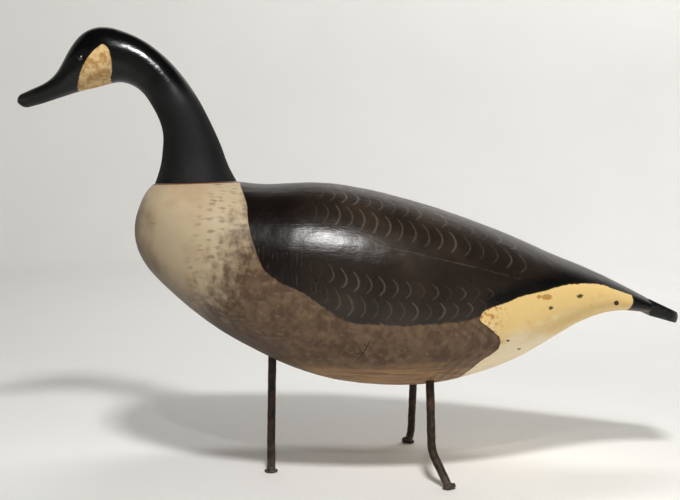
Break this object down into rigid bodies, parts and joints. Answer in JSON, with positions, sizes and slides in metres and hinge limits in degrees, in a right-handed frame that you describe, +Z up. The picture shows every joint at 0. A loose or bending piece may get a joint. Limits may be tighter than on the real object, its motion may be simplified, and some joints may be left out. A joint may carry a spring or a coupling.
{
  "type": "standing goose field decoy",
  "caption": "Carved hollow wooden goose decoy that stands on bent iron legs; the head and neck turn on a dowel and lift off, and the legs pull out of their sockets.",
  "frame": {"origin": "on the ground, under the middle of the bounding box", "axes": "+Z up; the bill points to -X and the tail to +X; the bird's left side is towards -Y"},
  "size_m": [0.7634, 0.2536, 0.5088],
  "materials": {
    "breast_and_flank_paint": "worn satin paint, cream breast, grey brown flank and cream rump",
    "back_paint": "worn glossy dark brown paint with lighter feather edges",
    "head_paint": "glossy black paint with a cream cheek",
    "tail_paint": "worn satin black paint",
    "bare_wood": "unpainted softwood",
    "dowel_wood": "smooth hardwood dowel",
    "leg_iron": "dark forged iron with light rust",
    "nail_steel": "rusted steel",
    "eye_glass": "gloss dark brown glass"
  },
  "bodies": {
    "body": {"hull": "breast_and_flank_paint", "back_board": "back_paint", "tail_insert": "tail_paint", "tail_nails": "nail_steel", "seam_nails": "nail_steel", "neck_block": "bare_wood", "front_leg_block": "bare_wood", "left_leg_block": "bare_wood", "right_leg_block": "bare_wood"},
    "dowel": {"neck_dowel": "dowel_wood"},
    "head": {"head_and_neck": "head_paint", "left_eye": "eye_glass", "right_eye": "eye_glass"},
    "front_leg": {"front_leg": "leg_iron"},
    "left_leg": {"left_leg": "leg_iron"},
    "right_leg": {"right_leg": "leg_iron"}
  },
  "joints": [
    {"name": "head_lift", "type": "slide", "parent": "body", "child": "dowel", "axis": [-0.0305, 0, 0.9995], "range_m": [0, 0.07]},
    {"name": "head_turn", "type": "hinge", "parent": "dowel", "child": "head", "pos_m": [-0.1778, 0, 0.331], "axis": [-0.0305, 0, 0.9995], "continuous": true},
    {"name": "front_leg_pull", "type": "slide", "parent": "body", "child": "front_leg", "axis": [-0.0119, -0.0995, -0.995], "range_m": [0, 0.058]},
    {"name": "left_leg_pull", "type": "slide", "parent": "body", "child": "left_leg", "axis": [0.0058, -0.2607, -0.9654], "range_m": [0, 0.058]},
    {"name": "right_leg_pull", "type": "slide", "parent": "body", "child": "right_leg", "axis": [-0.0115, 0.2961, -0.9551], "range_m": [0, 0.058]}
  ]
}
